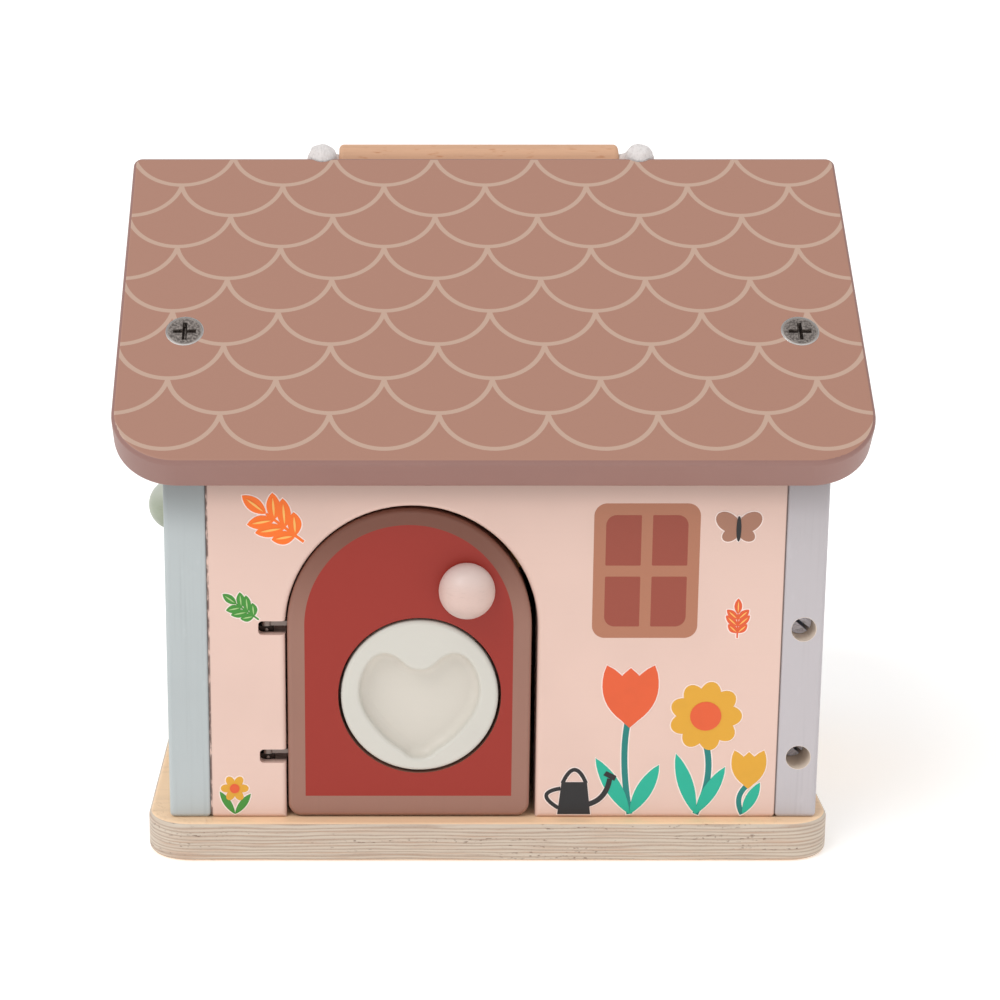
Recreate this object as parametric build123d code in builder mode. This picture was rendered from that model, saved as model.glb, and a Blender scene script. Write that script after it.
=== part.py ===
from build123d import *

import os
from math import cos, degrees, atan2, hypot, pi, radians, sin, sqrt, tan

# A small painted wooden activity house: a plywood base, two gable walls, a front and a
# back panel, two roof boards, three arched doors on pin hinges, a turning heart dial in
# the front door, and a carry handle on a cord through two holes along the ridge.
# Millimetres, +X right, +Y back, +Z up, origin at the centre of the base's underside.

# Boards
wall_board = 8.7
door_board = 8.4
base_board = 8.6
roof_board = 8.1

# Walls, over their outer faces, their height at the front and back faces, and how far
# right of the middle of the base and roof they stand
house_width = 137.6
house_depth = 114.2
wall_height = 78.7
house_centre = 0.9
wall_rounding = 1.0
joint_rounding = 0.5
doorway_rounding = 1.0

# Base plate, by how far it stands out from the walls
base_side_ledge = 4.05
base_front_ledge = 3.7
base_corner = 9.5
base_rounding = 1.2

# Roof, by how far its boards stand out from the walls
gable_overhang = 9.2
eave_overhang = 11.2
roof_pitch = 38.35
eave_corner = 13.75
ridge_corner = 2.0
roof_rounding = 1.0
ridge_joint = 0.05

# Doors, seen from outside with the hinge on the left, as shares of the wall height;
# the front door hangs beside the left wall and the side doors in the middle
door_width_share = 0.65057
front_door_top_share = 0.86175
side_door_top_share = 0.93393
front_hinge_from_wall = 12.3
door_foot_gap = 0.3
door_hinge_gap = 0.4
door_latch_gap = 1.3
door_head_gap = 0.5
door_foot_corner = 2.8
door_rounding = 0.9
door_back_rounding = 0.5

# Hinges: the pin's axis from the door's edge and from the outer face, the lower pair
# above the base's top and the upper pair above the front arch's springing, and how much
# lower the side doors' hinges sit
pivot_inset = 4.3
pivot_depth = 2.5
lower_hinge_level = 14.15
upper_hinge_rise = 0.25
side_hinge_drop = 0.65
bore_from_face = 4.3
rod_radius = 2.5
rod_slack = 0.1
front_rod_sink = 2.0
side_rod_sinks = (8.0, 5.5)
fork_reach = 1.3
fork_throat = 1.6
fork_slack = 0.1
kerf_width = 0.8
kerf_depth = 5.0
kerf_turn = 40.0
pin_radius = 0.5
pin_length = 2.6
pin_drop = 0.2
pin_slack = 0.02
slot_length = 5.6
slot_height = 3.0
slot_corner = 0.9
slot_drop = 0.34
leaf_thickness = 1.0
leaf_rise = 0.2
leaf_front = 0.7
leaf_back = 2.4
leaf_eye = 1.15
leaf_running_gap = 0.05
tang_length = 10.0
tang_slack = 0.05

# Door knobs, on the outer face, placed by shares of the door's width from its hinge edge
# and above its arch's springing
knob_radius = 5.85
knob_stand = 1.6
knob_from_hinge_share = 0.7324
front_knob_rise_share = 0.1645
side_knob_rise_share = 0.1883
tenon_radius = 2.5
tenon_length = 6.0
tenon_slack = 0.03

# Door stops, glued behind the doorway's shoulder
stop_width = 12.0
stop_height = 8.0
stop_depth = 6.0
stop_rounding = 0.8
stop_rise_share = 0.2871

# Heart dial, as shares of the door's width, and the right half of its heart from notch
# to tip, as shares of the dial's radius
dial_radius_share = 0.32324
dial_from_hinge_share = 0.543
dial_below_knob_share = 0.4576
heart_outline_shares = (
    (0, 0.343),
    (0.275, 0.494),
    (0.443, 0.561),
    (0.76, 0.13),
    (0.52, -0.47),
    (0.36, -0.63),
    (0.2, -0.75),
    (0, -0.835),
)
dial_gap = 0.6
dial_thickness = 6.0
dial_proud = 0.3
dial_recess = 6.0
dial_rounding = 0.9
heart_depth = 3.1
heart_rim_rounding = 0.8
heart_floor_rounding = 2.2

# Dial pivot, from behind the door
dial_screw_radius = 1.5
dial_screw_bite = 2.3
dial_screw_head_radius = 3.0
dial_screw_head_height = 1.8
dial_screw_head_rounding = 0.6
dial_screw_running_gap = 0.06
dial_screw_slot_width = 0.8
dial_screw_slot_depth = 0.9
washer_radius = 4.5
washer_thickness = 0.8
washer_slack = 0.05
washer_gap = 0.3

# Countersunk wood screws
screw_head_radius = 4.0
screw_rim = 0.35
screw_cone = 2.2
screw_shank_radius = 1.75
screw_tip = 3.0
screw_slack = 0.02
roof_screw_length = 22.0
base_screw_length = 16.0
cross_length = 4.8
cross_width = 1.0
cross_depth = 1.3
cross_taper = 18.0
roof_screw_from_eave = 35.3
base_screw_inset = 15.1
screw_centre = 0.4

# Carry handle and its cord; the holes' middle stands behind the ridge
grip_radius = 5.0
grip_length = 63.5
grip_rounding = 1.1
grip_bore = 2.8
grip_mouth = 3.8
grip_mouth_depth = 3.0
grip_from_ridge = 12.1
grip_rest_gap = 0.3
handle_centre = -0.7
cord_radius = 2.6
cord_outset = 3.55
cord_hole_radius = 3.8
cord_from_ridge = 2.65
cord_pivot_rise = 0.2
cord_ball_gap = 0.3
cord_bend_share = 0.45
knot_radius = 4.6
knot_gap = 0.1
knot_tail = 9.0

# Overrun of a cut past the face that it opens
overrun = 3.0
touch = 0.01

# Places that follow from the sizes
pitch = radians(roof_pitch)
half_width = house_width / 2
half_depth = house_depth / 2
inner_half_width = half_width - wall_board
left_face = house_centre - half_width
right_face = house_centre + half_width
wall_middle = half_width - wall_board / 2
wall_top = base_board + wall_height
base_width = house_width + 2 * base_side_ledge
base_depth = house_depth + 2 * base_front_ledge
roof_width = house_width + 2 * gable_overhang
roof_slope = (half_depth + eave_overhang) / cos(pitch)
peak = wall_top + half_depth * tan(pitch)
ridge_top = peak + roof_board / cos(pitch)
door_width = door_width_share * wall_height
front_door_top = front_door_top_share * wall_height
side_door_top = side_door_top_share * wall_height
front_springing = front_door_top - door_width / 2
side_springing = side_door_top - door_width / 2
opening_width = door_hinge_gap + door_width + door_latch_gap
opening_edge = pivot_inset - door_hinge_gap
opening_centre = opening_edge + opening_width / 2
door_centre = pivot_inset + door_width / 2
bore_depth = pivot_depth - bore_from_face
front_hinge_levels = (lower_hinge_level, front_springing + upper_hinge_rise)
side_hinge_levels = [level - side_hinge_drop for level in front_hinge_levels]
knob_from_hinge = knob_from_hinge_share * door_width
front_knob_level = front_springing + front_knob_rise_share * door_width
side_knob_level = side_springing + side_knob_rise_share * door_width
front_stop_level = front_springing + stop_rise_share * door_width
side_stop_level = side_springing + stop_rise_share * door_width
dial_radius = dial_radius_share * door_width
dial_from_hinge = dial_from_hinge_share * door_width
dial_level = front_knob_level - dial_below_knob_share * door_width
base_screw_y = half_depth - base_screw_inset
grip_half = grip_length / 2
left_cord_x = handle_centre - grip_half - cord_outset
right_cord_x = handle_centre + grip_half + cord_outset

# Hinge frames: origin on the pin's axis at the base's top, x towards the door's free
# edge, y up, z out of the house
front_hinge = Plane(
    origin=(
        left_face + wall_board + front_hinge_from_wall,
        pivot_depth - half_depth,
        base_board,
    ),
    x_dir=(1, 0, 0),
    z_dir=(0, -1, 0),
)
left_hinge = Plane(
    origin=(left_face + pivot_depth, door_centre, base_board),
    x_dir=(0, -1, 0),
    z_dir=(-1, 0, 0),
)
right_hinge = Plane(
    origin=(right_face - pivot_depth, -door_centre, base_board),
    x_dir=(0, 1, 0),
    z_dir=(1, 0, 0),
)
side_rod_reach = half_depth - door_centre

# Roof frames: origin on the ridge, y up the slope, z out of the board
front_slope = Plane(origin=(0, 0, ridge_top), x_dir=(1, 0, 0), z_dir=(0, -sin(pitch), cos(pitch)))
back_slope = Plane(origin=(0, 0, ridge_top), x_dir=(-1, 0, 0), z_dir=(0, sin(pitch), cos(pitch)))


def hinge_places(hinge, levels):
    """The two hinge heights on a pin axis."""
    return [hinge.location * Location((0, level, 0)) for level in levels]


def on_face(hinge, x, y):
    """A place on the outer face of a door or wall, in its hinge frame."""
    return hinge.location * Location((x, y, pivot_depth))


def arch(width, height):
    """A doorway outline with a half-round head, its foot centred on the origin."""
    with BuildSketch() as outline:
        with BuildLine():
            head = CenterArc((0, height - width / 2), width / 2, 0, 180)
            Polyline(head @ 1, (-width / 2, 0), (width / 2, 0), head @ 0)
        make_face()
    return outline.sketch


def doorway(head_level):
    """The cut for a doorway, through the board and its foot, in the hinge frame."""
    with BuildPart() as cut:
        with BuildSketch(Plane.XY.offset(pivot_depth + overrun)):
            with Locations((opening_centre, -overrun)):
                add(arch(opening_width, head_level + overrun))
        extrude(amount=-wall_board - overrun - overrun)
    return cut.part


def hinge_seat(reach):
    """The bore for one hinge rod and the slot that its leaf swings in."""
    with BuildPart() as seat:
        with BuildSketch(Plane.YZ.offset(-reach - overrun)):
            with Locations((0, bore_depth)):
                Circle(rod_radius + rod_slack)
        extrude(amount=reach + overrun + opening_edge + overrun)
        with BuildSketch(Plane.XY):
            with Locations((opening_edge + (slot_height - slot_length) / 2, -slot_drop)):
                RectangleRounded(slot_length + slot_height, slot_height, slot_corner)
        extrude(amount=pivot_depth + overrun)
    return seat.part


def hinge_rod(reach, sink):
    """A rod pushed into its bore, forked round the leaf and saw-cut at its outer end."""
    length = reach - sink + fork_reach
    with BuildPart() as rod:
        with BuildSketch(Plane.YZ.offset(fork_reach - length)):
            with Locations((0, bore_depth)):
                Circle(rod_radius)
        extrude(amount=length)
        fork_length = fork_throat + fork_reach + overrun
        with Locations((fork_length / 2 - fork_throat, leaf_rise, bore_depth)):
            Box(fork_length, leaf_thickness + 2 * fork_slack, 4 * rod_radius, mode=Mode.SUBTRACT)
        with Locations(Location((fork_reach - length, 0, bore_depth), (kerf_turn, 0, 0))):
            Box(2 * kerf_depth, kerf_width, 4 * rod_radius, mode=Mode.SUBTRACT)
        Cylinder(pin_radius + pin_slack, 4 * rod_radius, rotation=(90, 0, 0), mode=Mode.SUBTRACT)
    return rod.part


def hinge_leaf():
    """A flat leaf with an eye round the pin and a tang for the door's edge."""
    leaf_length = pivot_inset + tang_length
    with BuildPart() as leaf:
        with BuildSketch(Plane.XZ.offset(-leaf_rise - leaf_thickness / 2)):
            Circle(leaf_eye)
            with Locations((leaf_length / 2, (leaf_front - leaf_back) / 2)):
                Rectangle(leaf_length, leaf_front + leaf_back)
            Circle(pin_radius + leaf_running_gap, mode=Mode.SUBTRACT)
        extrude(amount=leaf_thickness)
    return leaf.part


def tang_seat():
    """The slit in the door's edge that holds one tang."""
    length = overrun + tang_length + tang_slack
    height = leaf_thickness + 2 * tang_slack
    depth = leaf_front + leaf_back + 2 * tang_slack
    with BuildPart() as seat:
        with Locations((pivot_inset - overrun + length / 2, leaf_rise, (leaf_front - leaf_back) / 2)):
            Box(length, height, depth)
    return seat.part


def knob():
    """A turned ball knob with a flat foot and a tenon, its foot at the origin."""
    foot_radius = sqrt(knob_radius**2 - knob_stand**2)
    diagonal = knob_radius * sin(pi / 4)
    with BuildPart() as turned:
        with BuildSketch(Plane.XZ):
            with BuildLine():
                ThreePointArc(
                    (0, knob_stand + knob_radius), (diagonal, knob_stand + diagonal), (foot_radius, 0)
                )
                Polyline(
                    (foot_radius, 0),
                    (tenon_radius, 0),
                    (tenon_radius, -tenon_length),
                    (0, -tenon_length),
                    (0, knob_stand + knob_radius),
                )
            make_face()
        revolve(axis=Axis.Z)
    return turned.part


def door_leaf(top_level, knob_level, hinge_levels, dial_seat):
    """An arched door in its hinge frame, bored for its knob and slit for its hinge leaves."""
    with BuildPart() as leaf:
        with BuildSketch(Plane.XY.offset(pivot_depth)):
            with Locations((door_centre, door_foot_gap)):
                add(arch(door_width, top_level - door_foot_gap))
        extrude(amount=-door_board)
        foot_corners = leaf.edges().filter_by(Axis.Z).group_by(Axis.Y)[0]
        fillet(foot_corners, door_foot_corner)
        fillet(leaf.faces().sort_by(Axis.Z)[-1].edges(), door_rounding)
        fillet(leaf.faces().sort_by(Axis.Z)[0].edges(), door_back_rounding)
        with Locations((pivot_inset + knob_from_hinge, knob_level, pivot_depth)):
            Hole(tenon_radius + tenon_slack, depth=tenon_length + tenon_slack)
        with Locations(*[(0, level, 0) for level in hinge_levels]):
            add(tang_seat(), mode=Mode.SUBTRACT)
        if dial_seat:
            with Locations((pivot_inset + dial_from_hinge, dial_level, pivot_depth)):
                Hole(dial_radius + dial_gap, depth=dial_recess)
                Hole(dial_screw_radius + dial_screw_running_gap)
    return leaf.part


def door_stop(level, top_level):
    """A block behind the doorway's shoulder on the latch side, in the hinge frame."""
    crown_radius = opening_width / 2
    spring_level = top_level + door_head_gap - crown_radius
    shoulder = opening_centre + sqrt(crown_radius**2 - (level - spring_level) ** 2)
    with BuildPart() as block:
        with Locations((shoulder, level, pivot_depth - wall_board - stop_depth / 2)):
            Box(stop_width, stop_height, stop_depth)
        fillet(block.faces().sort_by(Axis.Z)[0].edges(), stop_rounding)
    return block.part


def screw_blank(length, slack):
    """A countersunk screw's outline turned about Z, head face up at the origin."""
    head = screw_head_radius + slack
    shank = screw_shank_radius + slack
    with BuildPart() as blank:
        with BuildSketch(Plane.XZ):
            with BuildLine():
                Polyline(
                    (0, 0),
                    (head, 0),
                    (head, -screw_rim),
                    (shank, -screw_rim - screw_cone),
                    (shank, -length + screw_tip),
                    (0, -length - slack),
                    close=True,
                )
            make_face()
        revolve(axis=Axis.Z)
    return blank.part


def cross_head_screw(length):
    """A countersunk screw with a tapered cross recess."""
    with BuildPart() as screw:
        add(screw_blank(length, 0))
        with BuildSketch(Plane.XY):
            Rectangle(cross_length, cross_width)
            Rectangle(cross_width, cross_length)
        extrude(amount=-cross_depth, taper=cross_taper, mode=Mode.SUBTRACT)
    return screw.part


front_hinge_places = hinge_places(front_hinge, front_hinge_levels)
left_hinge_places = hinge_places(left_hinge, side_hinge_levels)
right_hinge_places = hinge_places(right_hinge, side_hinge_levels)
roof_screw_y = roof_screw_from_eave - roof_slope
screw_rows = (screw_centre - wall_middle, screw_centre + wall_middle)
roof_screw_spots = [Location((x, roof_screw_y, 0)) for x in screw_rows]
front_screw_places = [front_slope.location * spot for spot in roof_screw_spots]
back_screw_places = [
    back_slope.location * Location((-x, roof_screw_y, 0)) for x in screw_rows
]
underside = Plane(origin=(0, 0, 0), x_dir=(1, 0, 0), z_dir=(0, 0, -1))
base_screw_places = [
    underside.location * Location((x, y, 0)) for x in screw_rows for y in (-base_screw_y, base_screw_y)
]
roof_screw_hole = screw_blank(roof_screw_length, screw_slack)
base_screw_hole = screw_blank(base_screw_length, screw_slack)

# Base plate
with BuildPart() as base_plate:
    with BuildSketch():
        RectangleRounded(base_width, base_depth, base_corner)
    extrude(amount=base_board)
    fillet(base_plate.faces().sort_by(Axis.Z)[-1].edges(), base_rounding)
    fillet(base_plate.faces().sort_by(Axis.Z)[0].edges(), base_rounding)
    with Locations(*base_screw_places):
        add(base_screw_hole, mode=Mode.SUBTRACT)


def side_wall(left_side, hinge, places):
    """A gable wall with its doorway, hinge bores and screw holes."""
    outer_face = hinge.offset(pivot_depth)
    with BuildPart() as wall:
        with BuildSketch(Plane.YZ.offset(left_side)):
            Polygon(
                (-half_depth, base_board),
                (half_depth, base_board),
                (half_depth, wall_top),
                (0, peak),
                (-half_depth, wall_top),
                align=None,
            )
        extrude(amount=wall_board)
        upright_edges = wall.edges().filter_by(Axis.Z).group_by(Axis.X)
        outside = 0 if left_side < 0 else -1
        fillet(upright_edges[outside], wall_rounding)
        inner_edges = wall.edges().filter_by(Axis.Z).group_by(Axis.X)[-1 - outside]
        fillet(inner_edges, joint_rounding)
        with Locations(hinge):
            add(doorway(side_door_top + door_head_gap), mode=Mode.SUBTRACT)
        doorway_edges = wall.edges(Select.LAST).filter_by(
            lambda edge: abs(outer_face.to_local_coords(edge.center()).Z) < touch
        )
        fillet(doorway_edges, doorway_rounding)
        with Locations(*places):
            add(hinge_seat(side_rod_reach), mode=Mode.SUBTRACT)
        with Locations(*front_screw_places, *back_screw_places):
            add(roof_screw_hole, mode=Mode.SUBTRACT)
        with Locations(*base_screw_places):
            add(base_screw_hole, mode=Mode.SUBTRACT)
    return wall.part


# Side walls
with BuildPart() as left_wall:
    add(side_wall(left_face, left_hinge, left_hinge_places))

with BuildPart() as right_wall:
    add(side_wall(right_face - wall_board, right_hinge, right_hinge_places))


def panel_board(front):
    """A panel between the side walls, its top cut to the roof's slope; front is -1 or 1."""
    inner_y = half_depth - wall_board
    with BuildPart() as board:
        with BuildSketch(Plane.YZ.offset(left_face + wall_board)):
            Polygon(
                (front * half_depth, base_board),
                (front * inner_y, base_board),
                (front * inner_y, wall_top + wall_board * tan(pitch)),
                (front * half_depth, wall_top),
                align=None,
            )
        extrude(amount=2 * inner_half_width)
        outer_edges = board.edges().filter_by(Axis.Z).sort_by(Axis.Y)
        fillet(outer_edges[:2] if front < 0 else outer_edges[2:], joint_rounding)
    return board.part


# Front panel
with BuildPart() as front_panel:
    add(panel_board(-1))
    with Locations(front_hinge):
        add(doorway(front_door_top + door_head_gap), mode=Mode.SUBTRACT)
    doorway_edges = front_panel.edges(Select.LAST).filter_by(
        lambda edge: abs(edge.center().Y + half_depth) < touch
    )
    fillet(doorway_edges, doorway_rounding)
    with Locations(*front_hinge_places):
        add(hinge_seat(front_hinge_from_wall), mode=Mode.SUBTRACT)

# Back panel
with BuildPart() as back_panel:
    add(panel_board(1))


def roof_half(slope, screw_places):
    """One roof board, mitred at the ridge, with its screw holes and cord notches."""
    with BuildPart() as board:
        with BuildSketch(slope):
            with Locations((0, -roof_slope / 2)):
                Rectangle(roof_width, roof_slope)
        extrude(amount=-roof_board)
        corner_edges = board.edges().filter_by(Axis(slope.origin, slope.z_dir))
        fillet(corner_edges.sort_by(Axis.Z)[:2], eave_corner)
        corner_edges = board.edges().filter_by(Axis(slope.origin, slope.z_dir)).sort_by(Axis.Z)
        fillet(corner_edges[-2:], ridge_corner)
        outer_edges = board.faces().sort_by(Axis(slope.origin, slope.z_dir))[-1].edges()
        fillet(outer_edges.filter_by(lambda edge: edge.center().Z < ridge_top - touch), roof_rounding)
        inner_edges = board.faces().sort_by(Axis(slope.origin, slope.z_dir))[0].edges()
        below_ridge = ridge_top - roof_board * cos(pitch) - touch
        fillet(inner_edges.filter_by(lambda edge: edge.center().Z < below_ridge), roof_rounding)
        outward = slope.z_dir.Y / abs(slope.z_dir.Y)
        joint_plane = Plane(origin=(0, outward * ridge_joint, 0), x_dir=(1, 0, 0), z_dir=(0, outward, 0))
        split(bisect_by=joint_plane, keep=Keep.TOP)
        with Locations(*screw_places):
            add(roof_screw_hole, mode=Mode.SUBTRACT)
        with BuildSketch(Plane.XY.offset(ridge_top + overrun)):
            with Locations((left_cord_x, cord_from_ridge), (right_cord_x, cord_from_ridge)):
                Circle(cord_hole_radius)
        extrude(amount=-3 * roof_board, mode=Mode.SUBTRACT)
    return board.part


# Roof boards
with BuildPart() as roof_front:
    add(roof_half(front_slope, front_screw_places))

with BuildPart() as roof_back:
    add(roof_half(back_slope, back_screw_places))

# Wood screws
with BuildPart() as roof_screws:
    with Locations(*front_screw_places, *back_screw_places):
        add(cross_head_screw(roof_screw_length))

with BuildPart() as base_screws:
    with Locations(*base_screw_places):
        add(cross_head_screw(base_screw_length))

# Doors
with BuildPart() as front_door:
    with Locations(front_hinge):
        add(door_leaf(front_door_top, front_knob_level, front_hinge_levels, dial_seat=True))

with BuildPart() as left_door:
    with Locations(left_hinge):
        add(door_leaf(side_door_top, side_knob_level, side_hinge_levels, dial_seat=False))

with BuildPart() as right_door:
    with Locations(right_hinge):
        add(door_leaf(side_door_top, side_knob_level, side_hinge_levels, dial_seat=False))

# Door knobs
knob_x = pivot_inset + knob_from_hinge
with BuildPart() as front_door_knob:
    with Locations(on_face(front_hinge, knob_x, front_knob_level)):
        add(knob())

with BuildPart() as left_door_knob:
    with Locations(on_face(left_hinge, knob_x, side_knob_level)):
        add(knob())

with BuildPart() as right_door_knob:
    with Locations(on_face(right_hinge, knob_x, side_knob_level)):
        add(knob())

# Heart dial, in a frame at its centre on the door's outer face
dial_place = on_face(front_hinge, pivot_inset + dial_from_hinge, dial_level)
dial_floor = dial_proud - dial_thickness
with BuildPart() as heart_dial_local:
    with BuildSketch(Plane.XY.offset(dial_floor)):
        Circle(dial_radius)
    extrude(amount=dial_thickness)
    fillet(heart_dial_local.faces().sort_by(Axis.Z)[-1].edges(), dial_rounding)
    heart_points = [(x * dial_radius, y * dial_radius) for x, y in heart_outline_shares]
    with BuildSketch(Plane.XY.offset(dial_proud)):
        with BuildLine():
            Spline(*heart_points, tangents=((1, 0), (-1, 0)))
            mirror(about=Plane.YZ)
        make_face()
    extrude(amount=-heart_depth, mode=Mode.SUBTRACT)
    pocket_floor = heart_dial_local.faces().filter_by(Plane.XY).sort_by(Axis.Z)[-2]
    fillet(pocket_floor.edges(), heart_floor_rounding)
    pocket_rim = heart_dial_local.faces().filter_by(Plane.XY).sort_by(Axis.Z)[-1].inner_wires()[0]
    fillet(pocket_rim.edges(), heart_rim_rounding)
    with Locations(Location((0, 0, dial_floor), (180, 0, 0))):
        Hole(dial_screw_radius, depth=dial_screw_bite)

with BuildPart() as heart_dial:
    with Locations(dial_place):
        add(heart_dial_local.part)

# Dial washer and pivot screw, behind the door
door_back = -door_board
washer_back = door_back - washer_gap - washer_thickness
with BuildPart() as dial_washer:
    with Locations(dial_place * Location((0, 0, washer_back))):
        Cylinder(washer_radius, washer_thickness, align=(Align.CENTER, Align.CENTER, Align.MIN))
        Cylinder(
            dial_screw_radius + washer_slack,
            washer_thickness,
            align=(Align.CENTER, Align.CENTER, Align.MIN),
            mode=Mode.SUBTRACT,
        )

with BuildPart() as dial_screw_local:
    with BuildSketch(Plane.XY.offset(washer_back)):
        Circle(dial_screw_radius)
    extrude(amount=dial_floor + dial_screw_bite - washer_back)
    with BuildSketch(Plane.XY.offset(washer_back)):
        Circle(dial_screw_head_radius)
    extrude(amount=-dial_screw_head_height)
    fillet(dial_screw_local.faces().sort_by(Axis.Z)[0].edges(), dial_screw_head_rounding)
    with Locations((0, 0, washer_back - dial_screw_head_height)):
        Box(
            2 * dial_screw_head_radius,
            dial_screw_slot_width,
            2 * dial_screw_slot_depth,
            mode=Mode.SUBTRACT,
        )

with BuildPart() as dial_screw:
    with Locations(dial_place):
        add(dial_screw_local.part)

# Hinge leaves, one pair a door
with BuildPart() as front_hinge_leaves:
    with Locations(*front_hinge_places):
        add(hinge_leaf())

with BuildPart() as left_hinge_leaves:
    with Locations(*left_hinge_places):
        add(hinge_leaf())

with BuildPart() as right_hinge_leaves:
    with Locations(*right_hinge_places):
        add(hinge_leaf())

# Hinge rods, one pair a door
with BuildPart() as front_hinge_rods:
    with Locations(*front_hinge_places):
        add(hinge_rod(front_hinge_from_wall, front_rod_sink))

with BuildPart() as left_hinge_rods:
    for place, sink in zip(left_hinge_places, side_rod_sinks):
        with Locations(place):
            add(hinge_rod(side_rod_reach, sink))

with BuildPart() as right_hinge_rods:
    for place, sink in zip(right_hinge_places, side_rod_sinks):
        with Locations(place):
            add(hinge_rod(side_rod_reach, sink))

# Hinge pins, one pair a door
with BuildPart() as front_hinge_pins:
    with Locations(*front_hinge_places):
        with Locations((0, -pin_drop, 0)):
            Cylinder(pin_radius, pin_length, rotation=(90, 0, 0))

with BuildPart() as left_hinge_pins:
    with Locations(*left_hinge_places):
        with Locations((0, -pin_drop, 0)):
            Cylinder(pin_radius, pin_length, rotation=(90, 0, 0))

with BuildPart() as right_hinge_pins:
    with Locations(*right_hinge_places):
        with Locations((0, -pin_drop, 0)):
            Cylinder(pin_radius, pin_length, rotation=(90, 0, 0))

# Door stops
with BuildPart() as front_door_stop:
    with Locations(front_hinge):
        add(door_stop(front_stop_level, front_door_top))

with BuildPart() as left_door_stop:
    with Locations(left_hinge):
        add(door_stop(side_stop_level, side_door_top))

with BuildPart() as right_door_stop:
    with Locations(right_hinge):
        add(door_stop(side_stop_level, side_door_top))

# Handle, at rest on the rear slope
grip_clearance = grip_radius + grip_rest_gap
grip_y = grip_from_ridge * cos(pitch) + grip_clearance * sin(pitch)
grip_z = ridge_top - grip_from_ridge * sin(pitch) + grip_clearance * cos(pitch)
pivot_z = ridge_top + cord_pivot_rise

grip_axis = Plane(origin=(handle_centre, grip_y, grip_z), x_dir=(1, 0, 0), z_dir=(0, -1, 0))
with BuildPart() as handle_grip:
    with BuildSketch(grip_axis) as grip_section:
        with BuildLine():
            Polyline(
                (-grip_half, grip_mouth),
                (-grip_half, grip_radius),
                (grip_half, grip_radius),
                (grip_half, grip_mouth),
                (grip_half - grip_mouth_depth, grip_bore),
                (grip_mouth_depth - grip_half, grip_bore),
                close=True,
            )
        make_face()
        fillet(grip_section.vertices().group_by(Axis.Y)[-1], grip_rounding)
    revolve(axis=Axis(grip_axis.origin, grip_axis.x_dir))

# Cord, from the ridge back to the grip, through it, and back to the ridge
cord_run = hypot(grip_y - cord_from_ridge, grip_z - pivot_z)
cord_route = [
    (left_cord_x, cord_from_ridge, pivot_z),
    (left_cord_x, grip_y, grip_z),
    (right_cord_x, grip_y, grip_z),
    (right_cord_x, cord_from_ridge, pivot_z),
]
cord_bend = cord_bend_share * cord_run
with BuildPart() as handle_cord:
    with BuildLine() as cord_line:
        FilletPolyline(*cord_route, radius=[cord_bend, cord_bend])
    with BuildSketch(Plane(origin=cord_line.line @ 0, z_dir=cord_line.line % 0)):
        Circle(cord_radius)
    sweep(path=cord_line.line)
    with Locations(cord_route[0], cord_route[-1]):
        Sphere(cord_radius)

# Cord ends, each from its ridge hole down to a knot under the roof
knot_z = peak - cord_from_ridge * tan(pitch) - (knot_radius + knot_gap) / cos(pitch)
rest_angle = atan2(pivot_z - grip_z, grip_y - cord_from_ridge)
stub_top = pivot_z - (cord_radius + cord_ball_gap) / cos(rest_angle)
stub_shoulder = stub_top - cord_radius * tan(rest_angle)


def cord_end(x):
    """A cord end in its ridge hole, coned under the moving cord, with its knot and tail."""
    with BuildPart() as end:
        with BuildSketch(Plane(origin=(x, cord_from_ridge, 0), x_dir=(1, 0, 0), z_dir=(0, -1, 0))):
            with BuildLine():
                Polyline(
                    (0, knot_z - knot_tail),
                    (cord_radius, knot_z - knot_tail),
                    (cord_radius, stub_shoulder),
                    (0, stub_top),
                    close=True,
                )
            make_face()
        revolve(axis=Axis((x, cord_from_ridge, 0), (0, 0, 1)))
        with Locations((x, cord_from_ridge, knot_z)):
            Sphere(knot_radius)
    return end.part


with BuildPart() as left_cord_end:
    add(cord_end(left_cord_x))

with BuildPart() as right_cord_end:
    add(cord_end(right_cord_x))

nodes = {
    "base_plate": base_plate,
    "left_wall": left_wall,
    "right_wall": right_wall,
    "front_panel": front_panel,
    "back_panel": back_panel,
    "roof_front": roof_front,
    "roof_back": roof_back,
    "roof_screws": roof_screws,
    "base_screws": base_screws,
    "front_door": front_door,
    "left_door": left_door,
    "right_door": right_door,
    "front_door_knob": front_door_knob,
    "left_door_knob": left_door_knob,
    "right_door_knob": right_door_knob,
    "heart_dial": heart_dial,
    "dial_washer": dial_washer,
    "dial_screw": dial_screw,
    "front_hinge_leaves": front_hinge_leaves,
    "left_hinge_leaves": left_hinge_leaves,
    "right_hinge_leaves": right_hinge_leaves,
    "front_hinge_rods": front_hinge_rods,
    "left_hinge_rods": left_hinge_rods,
    "right_hinge_rods": right_hinge_rods,
    "front_hinge_pins": front_hinge_pins,
    "left_hinge_pins": left_hinge_pins,
    "right_hinge_pins": right_hinge_pins,
    "front_door_stop": front_door_stop,
    "left_door_stop": left_door_stop,
    "right_door_stop": right_door_stop,
    "handle_grip": handle_grip,
    "handle_cord": handle_cord,
    "left_cord_end": left_cord_end,
    "right_cord_end": right_cord_end,
}

os.makedirs("parts", exist_ok=True)
for name, piece in nodes.items():
    piece.part.label = name
    export_step(piece.part, f"parts/{name}.step")

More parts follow.
